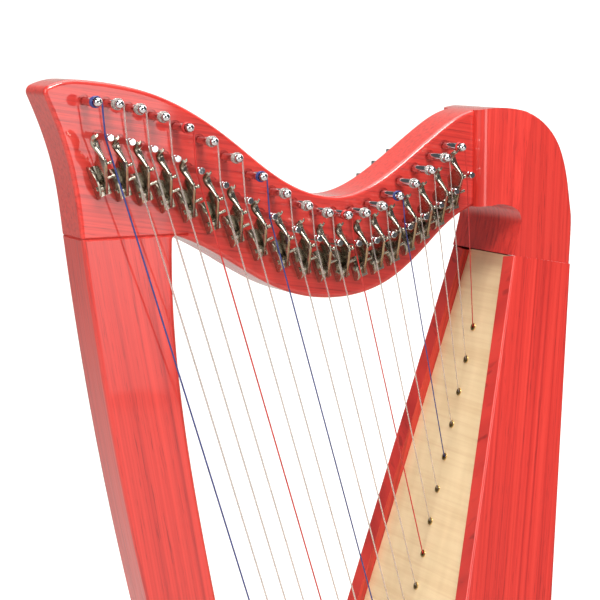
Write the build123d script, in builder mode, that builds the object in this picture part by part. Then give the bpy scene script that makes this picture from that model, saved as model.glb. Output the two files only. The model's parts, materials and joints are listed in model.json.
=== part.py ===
"""Small nineteen-string lever harp, built piece by piece in millimetres.

X runs from the pillar (minus) to the player's end (plus), Y across the harp with the
levers on the minus side, Z up. The origin is on the floor, under the middle of the harp.
"""

import os
from math import atan, atan2, cos, degrees, hypot, radians, sin, tan

from build123d import *

os.makedirs("parts", exist_ok=True)

# ---------------------------------------------------------------- driving dimensions
# Overall
neck_level = 487.0        # datum height that the whole neck is drawn from
foot_height = 6.0         # rubber feet
base_thick = 22.0         # plinth board

# Neck board and pillar
neck_thick = 34.0
neck_front = -160.0       # front of the neck where the pillar joins it
neck_back = 116.5         # end of the neck, against the shoulder block
joint_rise = 48.5         # neck to pillar joint, above the datum
pillar_top_width = 59.5
pillar_foot_front = -36.0
pillar_foot_width = 36.0
tip_round = 4.5           # front tip of the neck
inner_corner_round = 2.5  # under the neck, where the pillar begins
edge_round = 2.6          # softened edges of the neck and pillar
joint_groove_size = 1.5   # V groove where neck and pillar meet, along its slope
neck_end_low = 56.8       # lower and upper corners of the neck's end, above the datum
neck_end_high = 120.4

# Soundbox
box_top_width = 75.0      # outside width at the shoulder joint
box_flare = 0.142         # each side board leans out by this much per mm down
box_lean = 14.0           # soundboard angle from upright, degrees
box_back_lean = 8.4       # back edge angle from upright, degrees
box_joint_rise = 25.0     # front corner of the shoulder joint, above the datum
box_front_x = 136.3       # its place along X
box_depth = 45.2          # front to back at that joint
joint_drop = 7.9          # the joint slopes down to the back by this much
side_thick = 13.0
side_round = 1.6          # their long outer edges
board_set_back = 6.0      # soundboard behind the front edges of the side boards
board_thick = 3.2
board_gap = 0.2           # round the soundboard and the back panel
panel_thick = 4.0
panel_set_in = 3.0
panel_top_gap = 1.2
lining_width = 8.0
end_block_height = 30.0
rib_width = 20.0          # hardwood strip behind the soundboard, under the strings
rib_thick = 4.5
rib_top_gap = 6.0
rib_foot_gap = 4.0
grommet_bore = 2.6
grommet_barrel = 3.8
grommet_flange = 5.4
grommet_rim = 0.6
grommet_round = 0.35
lining_top_gap = 16.0
lining_foot_gap = 1.0
sound_hole_radius = 19.0
sound_hole_straight = 18.0
sound_hole_count = 4
sound_hole_pitch = 88.0
top_sound_hole_drop = 110.0

# Base
toe_length = 16.0         # base in front of the pillar
toe_half = 30.0
base_front_margin = 4.0
base_back_margin = 8.0
base_side_margin = 6.0
base_corner = 14.0
base_round = 4.0
foot_radius = 10.0
foot_taper = 4.0
foot_inset = 20.0
toe_foot_inset = 20.0
toe_foot_half = 16.0

# Joint dowels
dowel_radius = 4.0
dowel_depth = 14.0        # in each of the two pieces
foot_dowel_depth = 7.0
neck_dowel_inset = 18.0
shoulder_dowel_rises = (66.0, 106.0)

# Shoulder block
nose_step = 7.5           # how far the nose stands out from the neck's side
nose_round = 6.5
shoulder_round = 2.0      # outer edges over the top and down the back
bevel_rises = (130.0, 15.0)     # heights, above the datum, that the bevel is drawn at
bevel_ends = (150.4, 133.0)     # X of the crisp edge where the bevel ends, at each
under_curve_rise = 45.0         # where the curve into the neck's underside starts
under_lip = 9.0                 # short straight lip beside the neck
under_lip_lift = 0.6

# Strings, counted from the longest
string_count = 19
top_grommet_drop = 27.3   # shortest string's hole, below the datum
grommet_pitch = 22.6
gauge_rise = 60.0         # height above the datum where the strings are spaced
gauge_start = -132.3      # longest string at that height
gauge_pitch = 12.7        # spacing of the longest strings there
gauge_growth = 0.0706     # added to each next space
bass_string_diameter = 1.1
treble_string_diameter = 0.64
mouth_rise = 0.4          # a string bends into its hole this far above the board
mouth_bend = 1.6
winding_clearance = 0.3   # between a string's start and its pin's winding
knot_radius = 2.1
knot_length = 4.0
red_strings = (5, 12, 19)
blue_strings = (1, 8, 15)

# Tuning pins and bridge pins
pin_diameter = 5.0
pin_fit = 0.05            # radial clearance of a tuning pin in the neck
pin_reach = 24.5          # lever side, from the neck to the tip of the ball
pin_ball_radius = 2.75
pin_tail = 18.5           # square drive end on the far side
pin_square = 4.0
pin_shift = 8.2           # tuning pins stand this far in front of the bridge pins
winding_length = 3.4
winding_build = 0.85      # winding's height on the pin
winding_inset = 2.9       # winding's outer end, from the middle of the ball
winding_round = 0.4
square_length = 9.0       # of the square drive end
square_round = 0.5
mouth_diameter = 7.8      # shallow relief round every pin
mouth_depth = 0.7
bridge_diameter = 4.2
bridge_reach = 21.5
bridge_depth = 15.0       # in the wood
bridge_chamfer = 0.35
bridge_clearance = 0.4    # a bracket beside a bridge pin is notched by this much
groove_depth = 0.45
groove_arc = 1.3         # radius of the groove's section
groove_reach = 18.0       # string groove, from the neck face
string_gap = 0.10         # string to the bottom of its groove

# Lever: offsets along its pivot are measured from the handle's middle plane
lever_string_offset = 6.5     # string from the handle
lever_drop_short = 9.3        # rod below the bridge pin on the shortest strings
lever_drop_gain = 14.7        # and this much more on a string of the next length
lever_drop_length = 562.7
pivot_drop = 5.0              # pivot below the fret rod
pivot_rise = 6.5              # pivot above the neck face
handle_thick = 1.8
tab_thick = 1.8
tab_width = 5.0
fret_rod_radius = 1.0
fret_rod_place = (-5.3, 5.0)          # out from the pivot, and above it
short_fret_rod_place = (-3.4, 3.5)    # on short strings, which slope more to the neck
first_short_handle = 13
guide_rod_place = (-11.9, 14.5)
guide_rod_length = 4.0
guide_rod_radius = 0.75
guide_ball_radius = 1.25
disc_radius = 10.6
disc_rise = 3.0               # disc's middle above the pivot
short_disc_radius = 8.4       # shorter bracket, clear of the bridge pin beside it
short_disc_rise = -1.2
first_short_bracket = 13      # on the strings from this number up
disc_thick = 1.4
disc_chamfer = 0.35
disc_gap = 2.4                # between disc plate and handle
rivet_radius = 1.2
rivet_fit = 0.05
washer_gap = 0.2
foot_thick = 0.9
foot_width = 10.2
screw_radius = 1.0
screw_length = 8.0
screw_offset = 3.4
screw_head_radius = 1.8
screw_head_height = 1.0

# ---------------------------------------------------------------- worked-out places
half_neck = neck_thick / 2
joint_level = neck_level + joint_rise
base_top = foot_height + base_thick
box_top = neck_level + box_joint_rise
box_slope = tan(radians(box_lean))
back_slope = tan(radians(box_back_lean))
flare_angle = degrees(atan(box_flare))
box_back_x = box_front_x + box_depth
side_inset = side_thick / cos(radians(flare_angle))
board_front = board_set_back / cos(radians(box_lean))
board_back = (board_set_back + board_thick) / cos(radians(box_lean))
panel_back = panel_set_in / cos(radians(box_back_lean))
panel_front = (panel_set_in + panel_thick) / cos(radians(box_back_lean))


def front_x(level):
    """Front edge of the side boards at a height."""
    return box_front_x - box_slope * (box_top - level)


def back_x(level):
    """Back edge of the side boards at a height."""
    return box_back_x - back_slope * (box_top - joint_drop - level)


def half_width(level):
    """Half the outside width of the soundbox at a height."""
    return box_top_width / 2 + box_flare * (box_top - level)


def save(builder, name):
    """Label a finished piece and write its STEP file."""
    builder.part.label = name
    export_step(builder.part, f"parts/{name}.step")


def level_on(curve, x):
    """Height of a front-to-back curve where it passes x."""
    low = 0.0
    high = 1.0
    for _ in range(40):
        middle = (low + high) / 2
        if (curve @ middle).X < x:
            low = middle
        else:
            high = middle
    return (curve @ low).Y


# ---------------------------------------------------------------- where strings run
# Bridge pins and tuning pins follow two sweeping lines on the neck.
with BuildLine() as bridge_line:
    Spline(
        (-152, neck_level + 110.3),
        (-106, neck_level + 96.2),
        (-58.8, neck_level + 69.6),
        (-9.3, neck_level + 43.5),
        (18.7, neck_level + 39.2),
        (57.2, neck_level + 48.6),
        (104, neck_level + 81.2),
    )
with BuildLine() as pin_line:
    Spline(
        (-161, neck_level + 131),
        (-114.4, neck_level + 121.2),
        (-66.7, neck_level + 95.7),
        (-31.9, neck_level + 71.7),
        (-2, neck_level + 59),
        (24, neck_level + 58.4),
        (60, neck_level + 76),
        (98, neck_level + 99.5),
    )
bridge_curve = bridge_line.wires()[0]
pin_curve = pin_line.wires()[0]


class StringRun:
    """Where one string, its two pins and its lever are."""

    def __init__(self, number):
        step = number - 1
        share = step / (string_count - 1)
        self.number = number
        spread = bass_string_diameter - treble_string_diameter
        self.radius = (bass_string_diameter - share * spread) / 2

        # hole in the soundboard's face
        holes_above = string_count - number
        drop = top_grommet_drop + holes_above * grommet_pitch * cos(radians(box_lean))
        self.hole_z = neck_level - drop
        self.hole_x = front_x(self.hole_z) + board_front

        # bridge pin, where the line from the hole through the gauge crosses the bridge line
        gauge_x = gauge_start + gauge_pitch * step + gauge_growth * step * (step - 1) / 2
        slope = (self.hole_x - gauge_x) / (neck_level + gauge_rise - self.hole_z)
        self.bridge_z = neck_level + gauge_rise
        for _ in range(12):
            self.bridge_x = gauge_x - slope * (self.bridge_z - neck_level - gauge_rise)
            self.bridge_z = level_on(bridge_curve, self.bridge_x)

        # tuning pin
        self.pin_x = self.bridge_x - pin_shift
        self.pin_z = level_on(pin_curve, self.pin_x)

        # the string passes in front of the bridge pin, in its groove
        groove_radius = bridge_diameter / 2 - groove_depth
        self.wrap_radius = groove_radius + self.radius + string_gap
        self.groove_y = -half_neck - groove_reach
        self.top_x = self.bridge_x - self.wrap_radius
        self.length = hypot(self.hole_x - self.top_x, self.bridge_z - self.hole_z)
        self.lean = atan2(self.hole_x - self.top_x, self.bridge_z - self.hole_z)

        # lever: pivot, and the frame with X along the pivot and Z up the string
        rod_drop = lever_drop_short + lever_drop_gain * (self.length / lever_drop_length) ** 2
        down = rod_drop + pivot_drop
        along = lever_string_offset
        self.pivot = (
            self.top_x + down * sin(self.lean) - along * cos(self.lean),
            -half_neck - pivot_rise,
            self.bridge_z - down * cos(self.lean) - along * sin(self.lean),
        )
        self.frame = Plane(
            origin=self.pivot,
            x_dir=(cos(self.lean), 0, sin(self.lean)),
            z_dir=(-sin(self.lean), 0, cos(self.lean)),
        )


strings = [StringRun(number) for number in range(1, string_count + 1)]
pin_places = [(run.pin_x, run.pin_z) for run in strings]
bridge_places = [(run.bridge_x, run.bridge_z) for run in strings]
lever_places = [run.frame.location for run in strings]

near_face = Plane.XZ.offset(half_neck)      # lever side of the neck, facing -Y

# ---------------------------------------------------------------- neck and pillar
nose_level = neck_level + neck_end_low
shoulder_top = neck_level + neck_end_high
# Both are cut from one outline, so their edges run on across the joint.
pillar_back = neck_front + pillar_top_width
pillar_foot_back = pillar_foot_front + pillar_foot_width
neck_tip = (-183.5, neck_level + 138.2)
lean_at_joint = (sin(radians(7)), -cos(radians(7)))
with BuildPart() as frame_board:
    with BuildSketch(Plane.XZ.offset(-half_neck)):
        with BuildLine():
            Spline(
                neck_tip,
                (-166, neck_level + 89),
                (neck_front, joint_level),
                tangents=[(0.45, -1), lean_at_joint],
            )
            Spline(
                (neck_front, joint_level),
                (pillar_foot_front, base_top),
                tangents=[lean_at_joint, (sin(radians(20.7)), -cos(radians(20.7)))],
            )
            Line((pillar_foot_front, base_top), (pillar_foot_back, base_top))
            Spline(
                (pillar_foot_back, base_top),
                (neck_front + 79.5, joint_level - 194.5),
                (pillar_back, joint_level),
                tangents=[(-sin(radians(19)), cos(radians(19))), (0.03, 1)],
            )
            Spline(
                (pillar_back, joint_level),
                (-62, neck_level + 30),
                (-24, neck_level + 9.4),
                (14, neck_level + 2.4),
                (50, neck_level + 9.8),
                (84, neck_level + 34.5),
                (neck_back, nose_level),
                tangents=[(1, -0.3), (1, 0.35)],
            )
            Line((neck_back, nose_level), (neck_back, shoulder_top))
            Spline(
                (neck_back, shoulder_top),
                (92, neck_level + 109),
                (58, neck_level + 85),
                (18, neck_level + 67.6),
                (-15, neck_level + 74.5),
                (-56, neck_level + 102.3),
                (-113, neck_level + 134.5),
                (-157, neck_level + 143.1),
                neck_tip,
                tangents=[(-1, -0.2), (-1, -0.5)],
            )
        make_face()
        fillet(vertices().sort_by_distance(neck_tip)[0], tip_round)
        fillet(vertices().sort_by_distance((pillar_back, joint_level))[0], inner_corner_round)
    extrude(amount=neck_thick)
    outline_edges = frame_board.edges().filter_by(
        lambda edge: abs(abs(edge.center().Y) - half_neck) < 0.01
        and edge.center().X < neck_back - 0.1
        and edge.center().Z > base_top + 0.1
    )
    fillet(outline_edges, edge_round)

# V groove on both faces and down the front, half of it in each piece
with BuildPart() as joint_groove:
    with BuildSketch(Plane.YZ.offset(neck_front - 10)):
        with Locations((-half_neck, joint_level), (half_neck, joint_level)):
            Rectangle(joint_groove_size, joint_groove_size, rotation=45)
    extrude(amount=pillar_top_width + 20)
    with BuildSketch(Plane.XZ.offset(-half_neck)):
        with Locations((neck_front, joint_level)):
            Rectangle(joint_groove_size, joint_groove_size, rotation=45)
    extrude(amount=neck_thick)

# everything below the joint and in front of the neck's underside is the pillar
with BuildPart() as pillar_zone:
    with BuildSketch(Plane.XZ.offset(-half_neck - 1)):
        with BuildLine():
            Polyline(
                (neck_front - 30, joint_level),
                (pillar_back + inner_corner_round, joint_level),
                (pillar_back + inner_corner_round, neck_level - 20),
                (pillar_foot_back + 20, neck_level - 20),
                (pillar_foot_back + 20, base_top - 1),
                (neck_front - 30, base_top - 1),
                close=True,
            )
        make_face()
    extrude(amount=neck_thick + 2)

with BuildPart() as neck:
    add(frame_board.part)
    add(pillar_zone.part, mode=Mode.SUBTRACT)
    add(joint_groove.part, mode=Mode.SUBTRACT)
    # tuning pin bores, right through, with a relief at both mouths
    with BuildSketch(near_face):
        with Locations(*pin_places):
            Circle(pin_diameter / 2 + pin_fit)
    extrude(amount=-neck_thick, mode=Mode.SUBTRACT)
    with BuildSketch(near_face):
        with Locations(*pin_places, *bridge_places):
            Circle(mouth_diameter / 2)
    extrude(amount=-mouth_depth, mode=Mode.SUBTRACT)
    # blind bores for the bridge pins
    with BuildSketch(near_face):
        with Locations(*bridge_places):
            Circle(bridge_diameter / 2)
    extrude(amount=-bridge_depth, mode=Mode.SUBTRACT)

with BuildPart() as pillar:
    add(frame_board.part)
    add(pillar_zone.part, mode=Mode.INTERSECT)
    add(joint_groove.part, mode=Mode.SUBTRACT)

# ---------------------------------------------------------------- shoulder block

def shoulder_section(level, crisp_x):
    """Half plan of the shoulder at one height, mirrored: nose, bevel, then flat side."""
    nose_half = half_neck + nose_step
    side = box_top_width / 2
    round_start = (neck_back, nose_half - nose_round)
    round_end = (neck_back + nose_round, nose_half)
    beyond = box_back_x + 20
    with BuildSketch(Plane.XY.offset(level)) as section:
        with BuildLine():
            Line((neck_back, 0), round_start)
            RadiusArc(round_start, round_end, nose_round)
            Polyline(round_end, (crisp_x, side), (beyond, side), (beyond, 0), (neck_back, 0))
        make_face()
        mirror(about=Plane.XZ)
    return section.sketch


curve_start = (front_x(neck_level + under_curve_rise), neck_level + under_curve_rise)
curve_end = (neck_back + under_lip, nose_level + under_lip_lift)
with BuildPart() as shoulder:
    for rise, crisp_x in zip(bevel_rises, bevel_ends):
        add(shoulder_section(neck_level + rise, crisp_x))
    loft()
    with BuildSketch(Plane.XZ) as shoulder_side:
        with BuildLine():
            Line((neck_back, nose_level), (neck_back, shoulder_top))
            Spline(
                (neck_back, shoulder_top),
                (146, neck_level + 119.4),
                (170.5, neck_level + 99),
                (181.3, neck_level + 58),
                (box_back_x, box_top - joint_drop),
                tangents=[(1, 0.2), (-0.06, -1)],
            )
            Line((box_back_x, box_top - joint_drop), (box_front_x, box_top))
            Line((box_front_x, box_top), curve_start)
            TangentArc(curve_start, curve_end, tangent=(box_slope, 1))
            Line(curve_end, (neck_back, nose_level))
        make_face()
    extrude(amount=box_top_width, both=True, mode=Mode.INTERSECT)
    back_edges = shoulder.edges().filter_by(lambda edge: edge.length > box_depth * 2)
    side_edges = back_edges.filter_by(lambda edge: abs(edge.center().Y) > half_neck)
    fillet(side_edges, shoulder_round)

# ---------------------------------------------------------------- soundbox side boards
# The lever side's outer face: X along it, Y up its slope.
side_plane = Plane(
    origin=(0, -box_top_width / 2, box_top),
    x_dir=(1, 0, 0),
    z_dir=(0, -cos(radians(flare_angle)), sin(radians(flare_angle))),
)
side_height = (box_top - base_top) / cos(radians(flare_angle))
with BuildPart() as left_board:
    with BuildSketch(side_plane):
        with BuildLine():
            Polyline(
                (box_front_x, 0),
                (front_x(base_top), -side_height),
                (back_x(base_top), -side_height),
                (box_back_x, -joint_drop / cos(radians(flare_angle))),
                close=True,
            )
        make_face()
    extrude(amount=-side_thick)
    split(bisect_by=Plane.XY.offset(base_top), keep=Keep.TOP)
    long_edges = left_board.edges().filter_by(lambda edge: edge.length > box_depth * 4)
    outer_edges = long_edges.sort_by(lambda edge: edge.center().Y)[:2]
    fillet(outer_edges, side_round)

with BuildPart() as right_board:
    mirror(left_board.part, about=Plane.XZ)

# ---------------------------------------------------------------- soundboard and its rib
# The board's front face: Y runs down it.
board_plane = Plane(
    origin=(front_x(box_top) + board_front, 0, box_top),
    x_dir=(0, 1, 0),
    z_dir=(-cos(radians(box_lean)), 0, sin(radians(box_lean))),
)


def board_length(level):
    """Distance down the soundboard from the shoulder joint to a height."""
    return (box_top - level) / cos(radians(box_lean))


def inner_half(level):
    """Half the width of a board that fits inside the box at a height."""
    return half_width(level) - side_inset - board_gap


hole_places = [(0, board_length(run.hole_z)) for run in strings]
board_top = box_top - board_back * joint_drop / box_depth - board_gap
board_foot = base_top + board_thick * sin(radians(box_lean)) + board_gap

with BuildPart() as soundboard:
    with BuildSketch(board_plane):
        with BuildLine():
            Polyline(
                (-inner_half(board_top), board_length(board_top)),
                (inner_half(board_top), board_length(board_top)),
                (inner_half(board_foot), board_length(board_foot)),
                (-inner_half(board_foot), board_length(board_foot)),
                close=True,
            )
        make_face()
    extrude(amount=-board_thick)
    with BuildSketch(board_plane):
        with Locations(*hole_places):
            Circle(grommet_barrel / 2)
    extrude(amount=-board_thick, mode=Mode.SUBTRACT)

rib_top = board_length(box_top - rib_top_gap)
rib_foot = board_length(base_top + end_block_height + rib_foot_gap)
rib_plane = board_plane.offset(-board_thick)
with BuildPart() as string_rib:
    with BuildSketch(rib_plane):
        with Locations((0, (rib_top + rib_foot) / 2)):
            Rectangle(rib_width, rib_foot - rib_top)
    extrude(amount=-rib_thick)
    with BuildSketch(rib_plane):
        with Locations(*hole_places):
            Circle(grommet_bore / 2)
    extrude(amount=-rib_thick, mode=Mode.SUBTRACT)

# one brass eyelet, drawn flat and set in every hole
with BuildPart() as grommet:
    Cylinder(grommet_flange / 2, grommet_rim, align=(Align.CENTER, Align.CENTER, Align.MIN))
    fillet(grommet.edges().filter_by(GeomType.CIRCLE).sort_by(Axis.Z)[-1], grommet_round)
    Cylinder(grommet_barrel / 2, board_thick, align=(Align.CENTER, Align.CENTER, Align.MAX))
    Hole(grommet_bore / 2)

with BuildPart() as grommets:
    with Locations(*[(board_plane * Pos(x, y, 0)) for x, y in hole_places]):
        add(grommet.part)

# ---------------------------------------------------------------- linings, end block
lining_levels = (box_top - lining_top_gap, base_top + end_block_height + lining_foot_gap)


def front_lining_x(level):
    """Front of the lining that is glued behind the soundboard."""
    return front_x(level) + board_back


def back_lining_x(level):
    """Front of the lining that the back panel is screwed to."""
    return back_x(level) - panel_front - lining_width


def lining(place):
    """Square glue strip along the inside of the far side board."""
    with BuildPart() as strip:
        for level in lining_levels:
            with BuildSketch(Plane.XY.offset(level)):
                with Locations((place(level), half_width(level) - side_inset)):
                    Rectangle(lining_width, lining_width, align=(Align.MIN, Align.MAX))
        loft()
    return strip.part


with BuildPart() as linings:
    add(lining(front_lining_x))
    add(lining(back_lining_x))
    mirror(about=Plane.XZ)

with BuildPart() as end_block:
    for level in (base_top, base_top + end_block_height):
        inside = half_width(level) - side_inset
        front = front_x(level) + board_back
        back = back_x(level) - panel_front
        with BuildSketch(Plane.XY.offset(level)):
            with BuildLine():
                Polyline(
                    (front, -inside), (front, inside), (back, inside), (back, -inside), close=True
                )
            make_face()
    loft()

# ---------------------------------------------------------------- back panel
panel_level = box_top - joint_drop
# The panel's outer face: Y runs down it.
panel_plane = Plane(
    origin=(back_x(panel_level) - panel_back, 0, panel_level),
    x_dir=(0, -1, 0),
    z_dir=(cos(radians(box_back_lean)), 0, -sin(radians(box_back_lean))),
)


def panel_length(level):
    """Distance down the back panel from the shoulder joint to a height."""
    return (panel_level - level) / cos(radians(box_back_lean))


panel_top = panel_level - panel_top_gap
with BuildPart() as back_panel:
    with BuildSketch(panel_plane):
        with BuildLine():
            Polyline(
                (-inner_half(panel_top), panel_length(panel_top)),
                (inner_half(panel_top), panel_length(panel_top)),
                (inner_half(base_top), panel_length(base_top)),
                (-inner_half(base_top), panel_length(base_top)),
                close=True,
            )
        make_face()
        for number in range(sound_hole_count):
            with Locations((0, top_sound_hole_drop + number * sound_hole_pitch)):
                SlotCenterToCenter(
                    sound_hole_straight, 2 * sound_hole_radius, rotation=90, mode=Mode.SUBTRACT
                )
    extrude(amount=-panel_thick)

# ---------------------------------------------------------------- base and feet
base_front = pillar_foot_front - toe_length
base_back = back_x(base_top) + base_back_margin
base_half = half_width(base_top) + base_side_margin
base_widens = front_x(base_top) - base_front_margin
foot_places = [
    (base_front + toe_foot_inset, -toe_foot_half),
    (base_front + toe_foot_inset, toe_foot_half),
    (base_back - foot_inset, -base_half + foot_inset),
    (base_back - foot_inset, base_half - foot_inset),
]
with BuildPart() as base:
    with BuildSketch(Plane.XY.offset(foot_height)):
        with BuildLine():
            Polyline(
                (base_front, -toe_half),
                (base_front, toe_half),
                (base_widens, base_half),
                (base_back, base_half),
                (base_back, -base_half),
                (base_widens, -base_half),
                close=True,
            )
        make_face()
        fillet(vertices(), base_corner)
    extrude(amount=base_thick)
    fillet(base.faces().sort_by(Axis.Z)[-1].outer_wire().edges(), base_round)

with BuildPart() as feet:
    with BuildSketch(Plane.XY):
        with Locations(*foot_places):
            Circle(foot_radius)
    extrude(amount=foot_height, taper=-foot_taper)

# ---------------------------------------------------------------- joint dowels
neck_dowels = [
    (neck_front + neck_dowel_inset, 0, joint_level),
    (neck_front + pillar_top_width - neck_dowel_inset, 0, joint_level),
]
foot_dowel = (pillar_foot_front + pillar_foot_width / 2, 0, base_top)
shoulder_dowels = [(neck_back, 0, neck_level + rise) for rise in shoulder_dowel_rises]

with BuildPart() as dowels:
    with Locations(*neck_dowels):
        Cylinder(dowel_radius, 2 * dowel_depth)
    with Locations(foot_dowel):
        Cylinder(dowel_radius, 2 * foot_dowel_depth)
    with Locations(*shoulder_dowels):
        Cylinder(dowel_radius, 2 * dowel_depth, rotation=(0, 90, 0))

for wooden in (neck, pillar, shoulder, base):
    with wooden:
        add(dowels.part, mode=Mode.SUBTRACT)

# ---------------------------------------------------------------- bridge pins
with BuildPart() as bridge_pin:
    with BuildSketch(Plane.XY.offset(-bridge_depth)):
        Circle(bridge_diameter / 2)
    extrude(amount=bridge_depth + bridge_reach)
    chamfer(bridge_pin.edges().filter_by(GeomType.CIRCLE).sort_by(Axis.Z)[-1], bridge_chamfer)
    with BuildSketch(Plane.XZ):
        with Locations((bridge_diameter / 2 - groove_depth + groove_arc, groove_reach)):
            Circle(groove_arc)
    revolve(axis=Axis.Z, mode=Mode.SUBTRACT)

with BuildPart() as bridge_pins:
    with Locations(*[(near_face * Pos(x, z, 0)) for x, z in bridge_places]):
        add(bridge_pin.part)

# ---------------------------------------------------------------- tuning pin
pin_radius = pin_diameter / 2
ball_centre = pin_reach - pin_ball_radius
winding_end = ball_centre - winding_inset
with BuildPart() as tuning_pin:
    with BuildSketch(Plane.XY.offset(-neck_thick - pin_tail + square_length)):
        Circle(pin_radius)
    extrude(amount=neck_thick + pin_tail - square_length + ball_centre)
    with BuildSketch(Plane.XY.offset(-neck_thick - pin_tail)):
        RectangleRounded(pin_square, pin_square, square_round)
    extrude(amount=square_length)
    with Locations((0, 0, ball_centre)):
        Sphere(pin_ball_radius)

with BuildPart() as winding:
    with BuildSketch(Plane.XY.offset(winding_end - winding_length)):
        Circle(pin_radius + winding_build)
        Circle(pin_radius, mode=Mode.SUBTRACT)
    extrude(amount=winding_length)
    fillet(winding.edges().filter_by(GeomType.CIRCLE).sort_by(SortBy.RADIUS)[-2:], winding_round)

# ---------------------------------------------------------------- lever handle
# Drawn in its own frame: X along the pivot, -Y out from the neck, Z up.
with BuildPart() as handle:
    # thumb tab: an S-shaped strip that widens to its tip
    with BuildSketch(Plane.YZ.offset(-handle_thick / 2)):
        with BuildLine():
            Spline(
                (-17.1, 16.6),
                (-14.1, 24.8),
                (-16.1, 29.5),
                (-22.8, 31.7),
                tangents=[(0.2, 1), (-1, 0.1)],
            )
            Line((-22.8, 31.7), (-22.9, 31.7 + tab_thick))
            Spline(
                (-22.9, 31.7 + tab_thick),
                (-15.0, 30.9),
                (-12.3, 25.2),
                (-15.3, 16.5),
                tangents=[(1, -0.1), (-0.2, -1)],
            )
            Line((-15.3, 16.5), (-17.1, 16.6))
        make_face()
    extrude(amount=tab_width)
    with BuildSketch(Plane.XZ):
        with BuildLine():
            Polyline(
                (-handle_thick / 2, 10),
                (handle_thick / 2, 10),
                (handle_thick / 2, 18),
                (tab_width - handle_thick / 2, 29),
                (tab_width - handle_thick / 2, 36),
                (-handle_thick / 2, 36),
                close=True,
            )
        make_face()
    extrude(amount=30, both=True, mode=Mode.INTERSECT)
    # kite-shaped plate
    with BuildSketch(Plane.YZ.offset(-handle_thick / 2)):
        with BuildLine():
            Polyline(
                (0.5, -5.0),
                (-17.2, 17.9),
                (-9.0, 21.6),
                (1.5, 14.5),
                (4.0, 2.0),
                close=True,
            )
        make_face()
        fillet(vertices().sort_by(Axis.Y)[0:2], 2.5)
        Circle(rivet_radius + rivet_fit, mode=Mode.SUBTRACT)
    extrude(amount=handle_thick)
    # guide rod with its ball, which stands outside the string
    with BuildSketch(Plane.YZ):
        with Locations(guide_rod_place):
            Circle(guide_rod_radius)
    extrude(amount=guide_rod_length)
    with Locations((guide_rod_length + 0.3, *guide_rod_place)):
        Sphere(guide_ball_radius)


def with_fret_rod(place):
    """The handle and its fret rod, which passes under the string."""
    with BuildPart() as lever:
        add(handle.part)
        with BuildSketch(Plane.YZ):
            with Locations(place):
                Circle(fret_rod_radius)
        extrude(amount=lever_string_offset + 0.5)
    return lever.part


long_lever = with_fret_rod(fret_rod_place)
short_lever = with_fret_rod(short_fret_rod_place)

# ---------------------------------------------------------------- lever bracket
disc_left = -handle_thick / 2 - disc_gap - disc_thick
neck_y = pivot_rise       # neck face in the lever's own frame


def bracket_and_screws(radius, rise):
    """Upright disc plate on its foot, and the two screws that hold it down."""
    screw_places = [(screw_offset, rise - radius / 2), (screw_offset, rise + radius / 2)]
    with BuildPart() as plate:
        with BuildSketch(Plane.YZ.offset(disc_left)):
            with Locations((neck_y, rise)):
                Circle(radius)
                Rectangle(2 * radius, 2 * radius + 1, align=(Align.MIN, Align.CENTER), mode=Mode.SUBTRACT)
            Circle(rivet_radius, mode=Mode.SUBTRACT)
        extrude(amount=disc_thick)
        circles = plate.edges().filter_by(GeomType.CIRCLE)
        chamfer(circles.filter_by(lambda edge: edge.radius > rivet_radius + 1), disc_chamfer)
        with Locations((disc_left, neck_y, rise)):
            Box(foot_width, foot_thick, 2 * radius - 2, align=(Align.MIN, Align.MAX, Align.CENTER))
        with BuildSketch(Plane.XZ.offset(-neck_y)):
            with Locations(*screw_places):
                Circle(screw_radius)
        extrude(amount=foot_thick, mode=Mode.SUBTRACT)
    with BuildPart() as pair:
        with BuildSketch(Plane.XZ.offset(-neck_y - screw_length)):
            with Locations(*screw_places):
                Circle(screw_radius)
        extrude(amount=screw_length + foot_thick)
        with BuildSketch(Plane.XZ.offset(-neck_y + foot_thick)):
            with Locations(*screw_places):
                Circle(screw_head_radius)
        extrude(amount=screw_head_height)
    return plate.part, pair.part


long_plate, long_screws = bracket_and_screws(disc_radius, disc_rise)
short_plate, short_screws = bracket_and_screws(short_disc_radius, short_disc_rise)

with BuildPart() as rivet:
    with BuildSketch(Plane.XZ):
        with BuildLine():
            Polyline(
                (disc_left - 0.8, 0),
                (disc_left - 0.8, 1.6),
                (disc_left, 1.6),
                (disc_left, rivet_radius),
                (disc_left + disc_thick, rivet_radius),
                (disc_left + disc_thick, 2.6),
                (-handle_thick / 2 - washer_gap, 2.6),
                (-handle_thick / 2 - washer_gap, rivet_radius),
                (handle_thick / 2 + washer_gap, rivet_radius),
                (handle_thick / 2 + washer_gap, 2.0),
                (handle_thick / 2 + washer_gap + 0.8, 2.0),
                (handle_thick / 2 + washer_gap + 0.8, 0),
                close=True,
            )
        make_face()
    revolve(axis=Axis.X)

long_places = lever_places[: first_short_bracket - 1]
short_places = lever_places[first_short_bracket - 1 :]
with BuildPart() as brackets:
    with Locations(*long_places):
        add(long_plate)
    with Locations(*short_places):
        add(short_plate)
    with BuildSketch(near_face):
        with Locations(*bridge_places):
            Circle(bridge_diameter / 2 + bridge_clearance)
    extrude(amount=bridge_reach, mode=Mode.SUBTRACT)
with BuildPart() as screws:
    with Locations(*long_places):
        add(long_screws)
    with Locations(*short_places):
        add(short_screws)
with BuildPart() as rivets:
    with Locations(*lever_places):
        add(rivet.part)
with neck:
    add(screws.part, mode=Mode.SUBTRACT)

# ---------------------------------------------------------------- strings and knots
knot_depth = board_thick + rib_thick


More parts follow.
